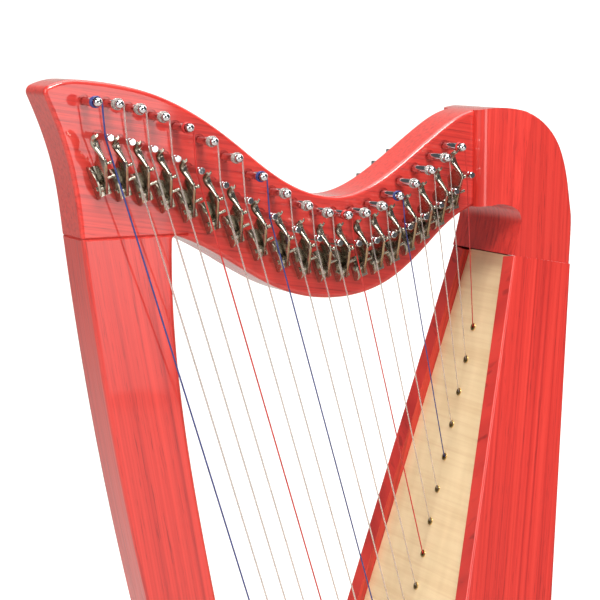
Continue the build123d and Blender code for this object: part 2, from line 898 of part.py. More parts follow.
def string_solid(run):
    """One string: from its winding, round the bridge pin, to behind the rib."""
    hole = board_plane * Pos(0, board_length(run.hole_z), 0)
    mouth = (hole * Pos(0, 0, mouth_rise)).position
    inner_end = (hole * Pos(0, 0, -knot_depth)).position
    leave_x = run.pin_x + pin_radius + run.radius + winding_clearance
    leave_y = -half_neck - winding_end - run.radius - winding_clearance
    with BuildPart() as cord:
        with BuildLine() as route:
            FilletPolyline(
                (leave_x, leave_y, run.pin_z),
                (run.top_x, run.groove_y, run.bridge_z),
                mouth,
                inner_end,
                radius=[run.wrap_radius, mouth_bend],
            )
        with BuildSketch(Plane(origin=route.line @ 0, z_dir=route.line % 0)):
            Circle(run.radius)
        sweep()
    return cord


with BuildPart() as knots:
    with Locations(*[(board_plane * Pos(x, y, -knot_depth)) for x, y in hole_places]):
        Cylinder(knot_radius, knot_length, align=(Align.CENTER, Align.CENTER, Align.MAX))

groups = {
    "strings_blue": blue_strings,
    "strings_red": red_strings,
    "strings_clear": [
        run.number for run in strings if run.number not in red_strings + blue_strings
    ],
}

# ---------------------------------------------------------------- write every piece
for group, numbers in groups.items():
    with BuildPart() as bundle:
        for number in numbers:
            add(string_solid(strings[number - 1]).part)
    save(bundle, group)

for run in strings:
    with BuildPart() as one_pin:
        with Locations(near_face * Pos(run.pin_x, run.pin_z, 0)):
            add(tuning_pin.part)
    with BuildPart() as one_winding:
        with Locations(near_face * Pos(run.pin_x, run.pin_z, 0)):
            add(winding.part)
    wound_pin = Compound(children=[one_pin.part, one_winding.part])
    wound_pin.label = f"tuning_pin_{run.number:02d}"
    export_step(wound_pin, f"parts/tuning_pin_{run.number:02d}.step")
    with BuildPart() as one_handle:
        with Locations(run.frame.location):
            add(long_lever if run.number < first_short_handle else short_lever)
    save(one_handle, f"lever_{run.number:02d}")

save(neck, "neck")
save(pillar, "pillar")
save(shoulder, "shoulder_block")
save(left_board, "side_board_left")
save(right_board, "side_board_right")
save(soundboard, "soundboard")
save(string_rib, "string_rib")
save(grommets, "soundboard_grommets")
save(linings, "box_linings")
save(end_block, "end_block")
save(back_panel, "back_panel")
save(base, "base")
save(feet, "rubber_feet")
save(dowels, "joint_dowels")
save(bridge_pins, "bridge_pins")
save(brackets, "lever_brackets")
save(screws, "bracket_screws")
save(rivets, "lever_rivets")
save(knots, "string_knots")
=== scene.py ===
# %% [markdown]
# # A small red lever harp
# The harp's bodies, pins and levers come from its CAD model, so every piece made here goes
# where that model says. This first step loads them.

import json
import math

import bmesh
import bpy
from mathutils import Matrix, Vector


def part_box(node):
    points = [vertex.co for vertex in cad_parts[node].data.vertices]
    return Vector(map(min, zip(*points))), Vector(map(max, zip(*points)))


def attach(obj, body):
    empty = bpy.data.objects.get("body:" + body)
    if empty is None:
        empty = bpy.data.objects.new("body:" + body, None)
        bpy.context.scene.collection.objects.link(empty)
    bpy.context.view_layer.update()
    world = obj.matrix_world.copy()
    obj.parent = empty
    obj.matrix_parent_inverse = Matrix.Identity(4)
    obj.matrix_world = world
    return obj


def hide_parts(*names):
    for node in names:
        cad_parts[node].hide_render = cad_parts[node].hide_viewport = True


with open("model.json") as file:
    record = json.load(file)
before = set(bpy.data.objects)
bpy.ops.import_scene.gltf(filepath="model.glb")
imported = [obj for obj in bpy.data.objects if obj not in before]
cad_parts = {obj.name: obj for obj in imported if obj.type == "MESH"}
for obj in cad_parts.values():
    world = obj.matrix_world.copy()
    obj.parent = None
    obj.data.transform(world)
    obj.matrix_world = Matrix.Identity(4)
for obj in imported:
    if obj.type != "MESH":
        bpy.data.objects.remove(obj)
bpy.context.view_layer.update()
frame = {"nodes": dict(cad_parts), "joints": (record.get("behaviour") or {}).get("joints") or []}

# %% [markdown]
# ## Camera, floor and light
# A harp is seen best from a little way off through a long lens, so that its strings stay
# nearly parallel. The camera stands on the lever side, turned towards the pillar, and a
# little above the neck. The floor is a pale sheet that curves up behind the harp. Large soft
# lights are used, because small ones would put hard spots on every pin. The low front light
# fades towards its foot, so that its mirror image in the pillar has no hard lower edge.

# %% Camera
scene = bpy.context.scene
look_at = Vector((-0.004, 0.0, 0.487))
azimuth = math.radians(-28.0)
elevation = math.radians(8.0)
distance = 1.2258

away = Vector((
    math.sin(azimuth) * math.cos(elevation),
    -math.cos(azimuth) * math.cos(elevation),
    math.sin(elevation),
))
lens = bpy.data.cameras.new("camera")
lens.sensor_width = 36.0        # millimetres, like the lens
lens.lens = 114.0
lens.clip_start = 0.01
camera = bpy.data.objects.new("camera", lens)
camera.location = look_at + away * distance
camera.rotation_euler = (-away).to_track_quat("-Z", "Y").to_euler()
scene.collection.objects.link(camera)
scene.camera = camera
scene.view_settings.view_transform = "Standard"
print("camera at", [round(value, 4) for value in camera.location])

# %% Helpers for node trees


def add_node(tree, kind, inputs=None, **settings):
    """Add a node, set its options, then set or link its inputs."""
    node = tree.nodes.new(kind)
    for name, value in settings.items():
        setattr(node, name, value)
    for name, value in (inputs or {}).items():
        if isinstance(value, bpy.types.NodeSocket):
            tree.links.new(value, node.inputs[name])
        else:
            node.inputs[name].default_value = value
    return node


def new_material(name, **constants):
    """A material whose shader has the given constant values."""
    material = bpy.data.materials.new(name)
    material.use_nodes = True
    tree = material.node_tree
    shader = tree.nodes["Principled BSDF"]
    for socket, value in constants.items():
        shader.inputs[socket.replace("_", " ")].default_value = value
    return material, tree, shader


def ramp(tree, factor, stops, smooth=False):
    """A colour ramp: stops are (position, colour) pairs."""
    node = add_node(tree, "ShaderNodeValToRGB", {"Fac": factor})
    if smooth:
        node.color_ramp.interpolation = "EASE"
    while len(node.color_ramp.elements) < len(stops):
        node.color_ramp.elements.new(0.5)
    for element, (position, colour) in zip(node.color_ramp.elements, stops):
        element.position = position
        element.color = (*colour, 1.0)
    return node.outputs["Color"]


def mix(tree, factor, first, second, how="MIX"):
    """Mix two colours."""
    node = add_node(tree, "ShaderNodeMix", data_type="RGBA", blend_type=how)
    for index, value in ((0, factor), (6, first), (7, second)):
        if isinstance(value, bpy.types.NodeSocket):
            tree.links.new(value, node.inputs[index])
        else:
            node.inputs[index].default_value = value
    return node.outputs[2]


def noise(tree, vector, scale, detail=2.0, roughness=0.5, distortion=0.0):
    """Noise from 0 to 1."""
    inputs = {
        "Vector": vector, "Scale": scale, "Detail": detail,
        "Roughness": roughness, "Distortion": distortion,
    }
    return add_node(tree, "ShaderNodeTexNoise", inputs).outputs["Fac"]


def object_place(tree):
    """Object coordinates, in metres."""
    return add_node(tree, "ShaderNodeTexCoord").outputs["Object"]


def bump(tree, height, strength, depth, normal=None):
    """A bump from a height pattern."""
    inputs = {"Height": height, "Strength": strength, "Distance": depth}
    if normal:
        inputs["Normal"] = normal
    return add_node(tree, "ShaderNodeBump", inputs).outputs["Normal"]


def output_of(tree):
    """The node tree's output node."""
    return next(node for node in tree.nodes if node.type == "OUTPUT_MATERIAL")


print("node helpers ready")

# %% Floor and backdrop
floor_material, tree, shader = new_material(
    "pale_floor", Roughness=0.7, Emission_Color=(1.0, 0.99, 0.98, 1.0), Emission_Strength=0.40
)
cloud = noise(tree, object_place(tree), 1.5, 3.0)
floor_colour = ramp(tree, cloud, [(0.3, (0.80, 0.79, 0.77)), (0.7, (0.84, 0.83, 0.81))])
tree.links.new(floor_colour, shader.inputs["Base Color"])
# the lacquer mirrors a duller studio than the camera sees, so it keeps its depth of colour
seen = add_node(tree, "ShaderNodeLightPath").outputs["Is Camera Ray"]
dull = add_node(tree, "ShaderNodeBsdfDiffuse", {"Color": (0.60, 0.57, 0.55, 1.0)})
either = add_node(tree, "ShaderNodeMixShader", {"Fac": seen})
tree.links.new(dull.outputs["BSDF"], either.inputs[1])
tree.links.new(shader.outputs["BSDF"], either.inputs[2])
tree.links.new(either.outputs["Shader"], output_of(tree).inputs["Surface"])

floor_front = -4.0
half_floor = 4.0
sweep_depth = 2.6               # where the sheet has turned upright
sweep_radius = 1.2
sweep_steps = 12
sweep_top = 3.5
profile = [(floor_front, 0.0), (sweep_depth - sweep_radius, 0.0)]
for step in range(1, sweep_steps + 1):
    turn = math.radians(90) * step / sweep_steps
    profile.append((
        sweep_depth - sweep_radius + sweep_radius * math.sin(turn),
        sweep_radius - sweep_radius * math.cos(turn),
    ))
profile.append((sweep_depth, sweep_top))
# the sweep faces the camera, so it is turned with it
sweep_turn = Matrix.Rotation(azimuth, 4, "Z")
points = []
for y, z in profile:
    points.append(sweep_turn @ Vector((-half_floor, y, z)))
    points.append(sweep_turn @ Vector((half_floor, y, z)))
faces = [(2 * i, 2 * i + 1, 2 * i + 3, 2 * i + 2) for i in range(len(profile) - 1)]
floor_mesh = bpy.data.meshes.new("floor")
floor_mesh.from_pydata([tuple(point) for point in points], [], faces)
floor_mesh.polygons.foreach_set("use_smooth", [True] * len(faces))
floor = bpy.data.objects.new("floor", floor_mesh)
floor_mesh.materials.append(floor_material)
scene.collection.objects.link(floor)
print("floor and backdrop:", len(faces), "faces")

# %% Lights
light_target = Vector((0.0, 0.0, 0.5))
plain_white = (1.0, 1.0, 1.0)
warm_white = (1.0, 0.97, 0.95)


def soft_light(name, place, width, height, power, colour=plain_white, foot=1.0):
    """A rectangular soft box that faces the harp.

    foot is its strength along the low edge; it is at full strength from half height up.
    """
    data = bpy.data.lights.new(name, "AREA")
    data.shape = "RECTANGLE"
    data.size = width
    data.size_y = height
    data.energy = power
    data.color = colour
    if foot < 1.0:
        data.use_nodes = True
        tree = data.node_tree
        emission = next(node for node in tree.nodes if node.type == "EMISSION")
        spot = add_node(tree, "ShaderNodeNewGeometry").outputs["Parametric"]
        share_up = add_node(tree, "ShaderNodeSeparateXYZ", {"Vector": spot}).outputs["Y"]
        strength = add_node(tree, "ShaderNodeMapRange", {
            "Value": share_up,
            "From Min": 0.0, "From Max": 0.5, "To Min": foot, "To Max": 1.0,
        }).outputs["Result"]
        tree.links.new(strength, emission.inputs["Strength"])
    light = bpy.data.objects.new(name, data)
    light.location = place
    direction = light_target - Vector(place)
    light.rotation_euler = direction.to_track_quat("-Z", "Y").to_euler()
    scene.collection.objects.link(light)


soft_light("front_low", (0.30, -2.1, 0.52), 1.0, 1.0, 11.0, warm_white, foot=0.25)
soft_light("front_high", (-0.3, -1.3, 2.6), 1.0, 1.0, 72.0, (1.0, 0.98, 0.95))
soft_light("left_fill", (-2.0, -0.6, 1.3), 1.4, 1.6, 28.0, (1.0, 0.95, 0.90))
soft_light("overhead", (0.2, 0.3, 2.2), 1.6, 1.2, 22.0)
soft_light("back_right", (1.8, 1.4, 1.5), 1.0, 1.4, 14.0)

world = bpy.data.worlds.new("studio")
scene.world = world
world.use_nodes = True
background = world.node_tree.nodes["Background"]
background.inputs["Color"].default_value = (0.95, 0.96, 1.0, 1.0)
background.inputs["Strength"].default_value = 0.12
print("five soft lights")

# %% [markdown]
# ## Lacquered red ash
# The neck, pillar, shoulder and sides are ash, stained red, under a thick gloss lacquer. Ash
# has broad wandering growth bands and short dark open pores that gather in the early wood.
# An image of wood would stretch over the curved pieces, so the grain is worked out from the
# place of each point: a stretched noise for the bands and finer ones for streaks and pores.
# The lacquer is the shader's coat, which stays smooth while the wood under it has a slight
# relief.

# %% Wood


def grain_space(tree, lean, along, across, through):
    """Object coordinates turned so that X runs along the grain, then stretched."""
    turned = add_node(tree, "ShaderNodeMapping", {"Vector": object_place(tree)})
    turned.inputs["Rotation"].default_value = (0.0, math.radians(lean), 0.0)
    return add_node(
        tree, "ShaderNodeMapping",
        {"Vector": turned.outputs["Vector"], "Scale": (along, across * through, across)},
    ).outputs["Vector"]


def lacquered_ash(name, lean, light, middle, dark, through=1.0):
    """Stained ash under gloss lacquer.

    lean is the grain's angle above level. through is how fast the pattern changes along Y:
    side boards flare that way, and a fast change would cut their grain up.
    """
    material, tree, shader = new_material(
        name, Coat_Weight=1.0, Coat_Roughness=0.045, Coat_IOR=1.5, IOR=1.45
    )
    waver = noise(tree, grain_space(tree, lean, 2.0, 12.0, through), 1.0, 2.0)
    bands = noise(tree, grain_space(tree, lean, 1.6, 460.0, through), 1.0, 2.0, 0.5, 0.1)
    streaks = noise(tree, grain_space(tree, lean, 7.0, 900.0, through), 1.0, 3.0, 0.6)
    pores = noise(tree, grain_space(tree, lean, 60.0, 2200.0, through), 1.0, 1.0, 0.4)
    band_colour = ramp(tree, bands, [(0.30, dark), (0.46, middle), (0.64, light)], True)
    streak_colour = ramp(tree, streaks, [(0.35, (0.84, 0.80, 0.80)), (0.62, (1.0, 1.0, 1.0))])
    colour = mix(tree, 0.55, band_colour, streak_colour, "MULTIPLY")
    broad = ramp(tree, waver, [(0.3, (0.86, 0.86, 0.86)), (0.7, (1.06, 1.05, 1.05))])
    colour = mix(tree, 1.0, colour, broad, "MULTIPLY")
    # pores show in the darker bands only
    stroke = ramp(tree, pores, [(0.63, (0.0, 0.0, 0.0)), (0.72, (0.7, 0.7, 0.7))])
    early = ramp(tree, bands, [(0.40, (1.0, 1.0, 1.0)), (0.60, (0.15, 0.15, 0.15))])
    stroke = mix(tree, 1.0, stroke, early, "MULTIPLY")
    pore_colour = (dark[0] * 0.45, dark[1] * 0.4, dark[2] * 0.4, 1.0)
    colour = mix(tree, stroke, colour, pore_colour)
    tree.links.new(colour, shader.inputs["Base Color"])
    rough = ramp(tree, streaks, [(0.3, (0.34, 0.34, 0.34)), (0.7, (0.48, 0.48, 0.48))])
    tree.links.new(rough, shader.inputs["Roughness"])
    fine = bump(tree, streaks, 0.12, 0.0002)
    tree.links.new(bump(tree, stroke, 0.25, -0.0001, fine), shader.inputs["Normal"])
    # lacquer is never dead flat: a faint ripple shows in its reflections
    ripple = noise(tree, object_place(tree), 60.0, 1.0)
    tree.links.new(bump(tree, ripple, 0.06, 0.0004), shader.inputs["Coat Normal"])
    return material


reds = ((0.74, 0.044, 0.030), (0.67, 0.034, 0.024), (0.52, 0.022, 0.017))
neck_wood = lacquered_ash("red_ash_neck", -9.0, *reds)
pillar_wood = lacquered_ash("red_ash_pillar", 100.0, *reds)
shoulder_wood = lacquered_ash("red_ash_shoulder", 88.0, *reds)
side_wood = lacquered_ash("red_ash_sides", 80.0, *reds, through=0.03)
base_wood = lacquered_ash("red_ash_base", 0.0, *reds)
print("five grain directions of red ash")

# %% [markdown]
# ## Pale soundboard and plain inside wood
# The soundboard is thin pale maple with a clear finish. Its grain runs across the harp, so it
# shows as faint level lines with a soft flame. The linings and blocks inside have no finish,
# and only show through the sound holes.

# %% Pale woods


def stretched_place(tree, axis, along, across):
    """Object coordinates with one scale along an axis and another across it."""
    scales = [across, across, across]
    scales[axis] = along
    return add_node(
        tree, "ShaderNodeMapping", {"Vector": object_place(tree), "Scale": scales}
    ).outputs["Vector"]


def pale_wood(name, axis, light, dark, coat):
    """Fine-grained pale wood whose grain runs along an axis."""
    material, tree, shader = new_material(
        name, Coat_Weight=coat, Coat_Roughness=0.12, Roughness=0.42
    )
    lines = noise(tree, stretched_place(tree, axis, 7.0, 260.0), 1.0, 4.0, 0.6, 0.15)
    flame = noise(tree, stretched_place(tree, axis, 90.0, 30.0), 1.0, 1.0)
    colour = ramp(tree, lines, [(0.30, dark), (0.62, light)], True)
    soft = ramp(tree, flame, [(0.35, (0.93, 0.92, 0.90)), (0.65, (1.0, 1.0, 1.0))])
    colour = mix(tree, 1.0, colour, soft, "MULTIPLY")
    tree.links.new(colour, shader.inputs["Base Color"])
    tree.links.new(bump(tree, lines, 0.15, 0.00015), shader.inputs["Normal"])
    return material


board_wood = pale_wood("pale_maple", 1, (0.90, 0.72, 0.44), (0.82, 0.62, 0.36), 0.6)
plain_wood = pale_wood("plain_hardwood", 2, (0.72, 0.55, 0.34), (0.55, 0.38, 0.21), 0.0)
print("pale woods ready")

# %% [markdown]
# ## Metals, rubber and nylon
# Three metals are used: bright chrome on the pins, satin nickel on the levers, brass in the
# eyelets. Each gets fine scratches in its roughness, because a metal with one even roughness
# looks like plastic. The strings are nylon: mostly clear, with red and blue ones that mark
# the notes.

# %% Metals


def metal(name, colour, low, high, scratch):
    """A metal with fine scratches and faint smudges; its roughness runs from low to high."""
    material, tree, shader = new_material(name, Metallic=1.0)
    lines = noise(tree, stretched_place(tree, 2, 300.0, 3000.0), 1.0, 2.0)
    smudge = noise(tree, object_place(tree), 180.0, 3.0)
    both = mix(tree, 0.5, lines, smudge)
    rough = ramp(tree, both, [(0.35, (low,) * 3), (0.65, (high,) * 3)])
    tree.links.new(rough, shader.inputs["Roughness"])
    worn = tuple(value * 0.82 for value in colour)
    shade = ramp(tree, smudge, [(0.30, worn), (0.55, colour)])
    tree.links.new(shade, shader.inputs["Base Color"])
    tree.links.new(bump(tree, lines, scratch, 0.00005), shader.inputs["Normal"])
    return material


chrome = metal("chrome", (0.66, 0.66, 0.68), 0.03, 0.08, 0.03)
nickel = metal("satin_nickel", (0.47, 0.43, 0.355), 0.17, 0.28, 0.08)
brass = metal("brass", (0.86, 0.62, 0.26), 0.12, 0.24, 0.06)
print("three metals ready")

# %% Rubber and nylon
rubber, tree, shader = new_material("black_rubber", Roughness=0.8)
speckle = noise(tree, object_place(tree), 900.0, 3.0)
rubber_dark = (0.018, 0.018, 0.018)
rubber_light = (0.035, 0.034, 0.033)
rubber_colour = ramp(tree, speckle, [(0.3, rubber_dark), (0.7, rubber_light)])
tree.links.new(rubber_colour, shader.inputs["Base Color"])
tree.links.new(bump(tree, speckle, 0.3, 0.0002), shader.inputs["Normal"])


def nylon(name, light, dark, clear=0.0):
    """Smooth nylon with slight changes of shade along it; clear is how much shines through."""
    material, tree, shader = new_material(
        name, Roughness=0.22, IOR=1.53, Transmission_Weight=clear
    )
    shade = noise(tree, object_place(tree), 240.0, 2.0)
    tree.links.new(ramp(tree, shade, [(0.3, dark), (0.7, light)]), shader.inputs["Base Color"])
    tree.links.new(bump(tree, shade, 0.05, 0.0001), shader.inputs["Normal"])
    return material


clear_nylon = nylon("clear_nylon", (0.88, 0.83, 0.79), (0.76, 0.71, 0.67), clear=0.75)
red_nylon = nylon("red_nylon", (0.62, 0.030, 0.025), (0.48, 0.020, 0.018))
blue_nylon = nylon("blue_nylon", (0.040, 0.060, 0.26), (0.026, 0.036, 0.16))
print("rubber and three nylons ready")

# %% Put the finishes on the CAD pieces
# the pins, levers and strings are made again further on, with their own finishes
finishes = {
    "neck": neck_wood, "shoulder_block": shoulder_wood, "pillar": pillar_wood,
    "side_board_left": side_wood, "side_board_right": side_wood, "back_panel": shoulder_wood,
    "base": base_wood, "soundboard": board_wood, "string_rib": plain_wood,
    "box_linings": plain_wood, "end_block": plain_wood, "joint_dowels": plain_wood,
    "soundboard_grommets": brass, "rubber_feet": rubber, "bridge_pins": chrome,
    "lever_brackets": nickel, "bracket_screws": nickel, "lever_rivets": nickel,
    "string_knots": clear_nylon,
}
for node_name, finish in finishes.items():
    node = frame["nodes"][node_name]
    if not node.material_slots:
        node.data.materials.append(finish)
    for slot in node.material_slots:
        slot.material = finish
print(len(finishes), "CAD pieces have a finish")

# %% [markdown]
# ## Where each string runs
# A string leaves its tuning pin, bends round a bridge pin, passes its lever and goes into the
# soundboard. The joints of the CAD model say where the pins and levers are: the string runs
# beside the lever's pivot, at a right angle to it. The rest follows from a few sizes of the
# hardware.

# %% String runs
string_count = 19
mm = 0.001
half_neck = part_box("neck")[1][1]
pin_radius = 2.5 * mm
pin_shift = 8.2 * mm            # a bridge pin stands this far behind its tuning pin
bridge_groove_radius = 1.65 * mm
groove_reach = 18.0 * mm        # a bridge pin's groove, from the neck's face
string_gap = 0.10 * mm
hole_rise = 0.4 * mm            # a string bends this far above the soundboard
winding_end = 18.85 * mm        # outer end of a winding, from the neck's face
winding_clearance = 0.3 * mm
lever_offset = 6.5 * mm         # string from its lever's middle
bass_radius = 0.55 * mm
treble_radius = 0.32 * mm
board_lean = math.radians(14.0)
board_thick = 3.2 * mm
rib_thick = 4.5 * mm
red_strings = (5, 12, 19)
blue_strings = (1, 8, 15)

places = {joint["name"]: joint for joint in frame["joints"]}
board_low, board_high = (Vector(corner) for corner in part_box("soundboard"))
board_corner = Vector((board_high.x - board_thick * math.cos(board_lean), 0.0, board_high.z))
board_normal = Vector((-math.cos(board_lean), 0.0, math.sin(board_lean)))


class StringRun:
    """One string's points, from its tuning pin to behind the soundboard."""

    def __init__(self, number):
        share = (number - 1) / (string_count - 1)
        self.number = number
        self.radius = bass_radius + (treble_radius - bass_radius) * share
        self.pin = Vector(places[f"pin_turn_{number:02d}"]["pos_m"])
        lever = places[f"lever_flip_{number:02d}"]
        sideways = Vector(lever["axis"]).normalized()
        self.pivot = Vector(lever["pos_m"])
        self.sideways = sideways
        beside = self.pivot + sideways * lever_offset
        down = Vector((sideways.z, 0.0, -sideways.x))

        wrap = bridge_groove_radius + self.radius + string_gap
        top_x = self.pin.x + pin_shift - wrap
        top_z = beside.z + down.z * (top_x - beside.x) / down.x
        self.top = Vector((top_x, -half_neck - groove_reach, top_z))
        reach = (board_corner - beside).dot(board_normal) / down.dot(board_normal)
        self.hole = beside + down * reach
        self.hole.y = 0.0
        self.start = Vector((
            self.pin.x + pin_radius + self.radius + winding_clearance,
            -half_neck - winding_end - self.radius - winding_clearance,
            self.pin.z,
        ))
        inner_end = self.hole - board_normal * (board_thick + rib_thick)
        self.points = [self.start, self.top, self.hole + board_normal * hole_rise, inner_end]


runs = [StringRun(number) for number in range(1, string_count + 1)]
print("longest string", round((runs[0].top - runs[0].hole).length, 4), "m")
print("shortest string", round((runs[-1].top - runs[-1].hole).length, 4), "m")

# %% [markdown]
# ## Strings and windings
# Strings and their windings are both round wire along a path, so one Geometry Nodes tree makes
# them all. It turns a chain of edges into a curve, rounds its corners, and sweeps a circle
# along it. The wire's thickness comes from an attribute on the points, so strings of different
# gauges can be made in one go.

# %% Wire tree


def add_socket(tree, name, kind, default=None):
    """A named input of a Geometry Nodes tree."""
    socket = tree.interface.new_socket(name, in_out="INPUT", socket_type=kind)
    if default is not None:
        socket.default_value = default
    return socket


def build_wire_tree():
    """Edges to round wire: named inputs for the bend radius, sides and material."""
    tree = bpy.data.node_groups.new("wire_along_edges", "GeometryNodeTree")
    add_socket(tree, "Path", "NodeSocketGeometry")
    add_socket(tree, "Bend Radius", "NodeSocketFloat", 0.002)
    add_socket(tree, "Bend Points", "NodeSocketInt", 6)
    add_socket(tree, "Sides", "NodeSocketInt", 10)
    add_socket(tree, "Material", "NodeSocketMaterial")
    tree.interface.new_socket("Wire", in_out="OUTPUT", socket_type="NodeSocketGeometry")
    given = tree.nodes.new("NodeGroupInput").outputs
    gauge = add_node(
        tree, "GeometryNodeInputNamedAttribute", {"Name": "wire_radius"}, data_type="FLOAT"
    )
    curve = add_node(tree, "GeometryNodeMeshToCurve", {"Mesh": given["Path"]})
    sized = add_node(
        tree, "GeometryNodeSetCurveRadius",
        {"Curve": curve.outputs["Curve"], "Radius": gauge.outputs["Attribute"]},
    )
    rounded = add_node(
        tree, "GeometryNodeFilletCurve",
        {"Curve": sized.outputs["Curve"], "Radius": given["Bend Radius"]},
    )
    rounded.mode = "POLY"
    tree.links.new(given["Bend Points"], rounded.inputs["Count"])
    rounded.inputs["Limit Radius"].default_value = True
    circle = add_node(
        tree, "GeometryNodeCurvePrimitiveCircle", {"Resolution": given["Sides"], "Radius": 1.0}
    )
    swept = add_node(
        tree, "GeometryNodeCurveToMesh",
        {"Curve": rounded.outputs["Curve"], "Profile Curve": circle.outputs["Curve"]},
    )
    kept = add_node(tree, "GeometryNodeInputRadius")
    tree.links.new(kept.outputs["Radius"], swept.inputs["Scale"])
    swept.inputs["Fill Caps"].default_value = True
    smooth = add_node(tree, "GeometryNodeSetShadeSmooth", {"Geometry": swept.outputs["Mesh"]})
    real = add_node(
        tree, "GeometryNodeRealizeInstances", {"Geometry": smooth.outputs["Geometry"]}
    )
    painted = add_node(
        tree, "GeometryNodeSetMaterial",
        {"Geometry": real.outputs["Geometry"], "Material": given["Material"]},
    )
    finished = tree.nodes.new("NodeGroupOutput")
    tree.links.new(painted.outputs["Geometry"], finished.inputs["Wire"])
    return tree


wire_tree = build_wire_tree()
print("wire tree with", len(wire_tree.nodes), "nodes")

# %% Wire pieces


def set_input(modifier, name, value):
    """Set a modifier's input by its socket's identifier."""
    for item in modifier.node_group.interface.items_tree:
        if item.item_type == "SOCKET" and item.in_out == "INPUT" and item.name == name:
            modifier[item.identifier] = value
            return
    raise KeyError(name)


def make_wire(name, paths, material, sides, bend=0.002):
    """Round wire along each (points, radius) path, as one plain mesh object."""
    points, edges, radii = [], [], []
    for path, radius in paths:
        first = len(points)
        points += [tuple(point) for point in path]
        radii += [radius] * len(path)
        edges += [(first + i, first + i + 1) for i in range(len(path) - 1)]
    route = bpy.data.meshes.new(name + "_route")
    route.from_pydata(points, edges, [])
    route.attributes.new("wire_radius", "FLOAT", "POINT").data.foreach_set("value", radii)
    source = bpy.data.objects.new(name + "_route", route)
    scene.collection.objects.link(source)
    modifier = source.modifiers.new("wire", "NODES")
    modifier.node_group = wire_tree
    set_input(modifier, "Bend Radius", bend)
    set_input(modifier, "Sides", sides)
    set_input(modifier, "Material", material)
    bpy.context.view_layer.update()
    ready = source.evaluated_get(bpy.context.evaluated_depsgraph_get())
    mesh = bpy.data.meshes.new_from_object(ready)
    mesh.name = name
    bpy.data.objects.remove(source)
    bpy.data.meshes.remove(route)
    piece = bpy.data.objects.new(name, mesh)
    scene.collection.objects.link(piece)
    return piece


def colour_of(number):
    """Finish and slot of one string."""
    if number in red_strings:
        return "red", red_nylon
    if number in blue_strings:
        return "blue", blue_nylon
    return "clear", clear_nylon


string_sides = 12
for colour_name, finish in (("clear", clear_nylon), ("red", red_nylon), ("blue", blue_nylon)):
    paths = [(run.points, run.radius) for run in runs if colour_of(run.number)[0] == colour_name]
    piece = make_wire(f"{colour_name}_string_set", paths, finish, string_sides)
    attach(piece, "frame")
    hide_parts(f"strings_{colour_name}")
    print(piece.name, len(paths), "strings,", len(piece.data.polygons), "faces")

# %% [markdown]
# ## Tuning pins
# A tuning pin is a steel rod with a polished ball on the lever side and a square end on the
# far side, for the tuning key. The CAD pin holds its winding as one plain ring, so each pin is
# made again: a lathe profile for the round part, a squared end, and a real winding of three
# turns beside it. A winding turns with its pin, so it rides on the same body.

# %% Pins and windings
pin_reach = 24.5 * mm
ball_radius = 2.75 * mm
square_length = 9.0 * mm
far_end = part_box("tuning_pin_01")[1][1]
lathe_sides = 28
ball_steps = 12
ball_turn = math.radians(148)   # where the ball runs into the rod's fine neck
square_half = 2.0 * mm


def pin_profile():
    """(distance along the pin, radius) from the ball's tip to the square end."""
    ball_middle = -half_neck - pin_reach + ball_radius
    rows = []
    for step in range(1, ball_steps + 1):
        turn = ball_turn * step / ball_steps
        rows.append((ball_middle - ball_radius * math.cos(turn), ball_radius * math.sin(turn)))
    rows.append((ball_middle + ball_radius + 0.1 * mm, 1.9 * mm))
    rows.append((ball_middle + ball_radius + 0.5 * mm, pin_radius - 0.15 * mm))
    rows.append((ball_middle + ball_radius + 0.8 * mm, pin_radius))
    rows.append((far_end - square_length - 0.6 * mm, pin_radius))
    rows.append((far_end - square_length - 0.1 * mm, pin_radius - 0.35 * mm))
    return ball_middle, rows


def make_pin(name, pin):
    """One tuning pin as a closed mesh."""
    ball_middle, rows = pin_profile()
    points = [(pin.x, ball_middle - ball_radius, pin.z)]
    faces = []
    for y, radius in rows:
        for side in range(lathe_sides):
            turn = 2 * math.pi * side / lathe_sides
            points.append((pin.x + radius * math.cos(turn), y, pin.z + radius * math.sin(turn)))
    # the square end has the same number of points, pushed out to a rounded square
    for y, size in (
        (far_end - square_length, 1.0), (far_end - 0.5 * mm, 1.0), (far_end, 0.8),
    ):
        for side in range(lathe_sides):
            turn = 2 * math.pi * side / lathe_sides
            stretch = max(abs(math.cos(turn)), abs(math.sin(turn)))
            radius = min(square_half / stretch, pin_radius * 1.02) * size
            points.append((pin.x + radius * math.cos(turn), y, pin.z + radius * math.sin(turn)))
    ring_count = len(rows) + 3
    for side in range(lathe_sides):
        after = (side + 1) % lathe_sides
        faces.append((0, 1 + side, 1 + after))
        for ring in range(ring_count - 1):
            a = 1 + ring * lathe_sides
            b = a + lathe_sides
            faces.append((a + side, b + side, b + after, a + after))
    last = 1 + (ring_count - 1) * lathe_sides
    faces.append(tuple(range(last + lathe_sides - 1, last - 1, -1)))
    mesh = bpy.data.meshes.new(name)
    mesh.from_pydata(points, [], faces)
    return mesh


def fix_normals(mesh):
    """Make every face point outwards."""
    work = bmesh.new()
    work.from_mesh(mesh)
    bmesh.ops.recalc_face_normals(work, faces=work.faces)
    work.to_mesh(mesh)
    work.free()


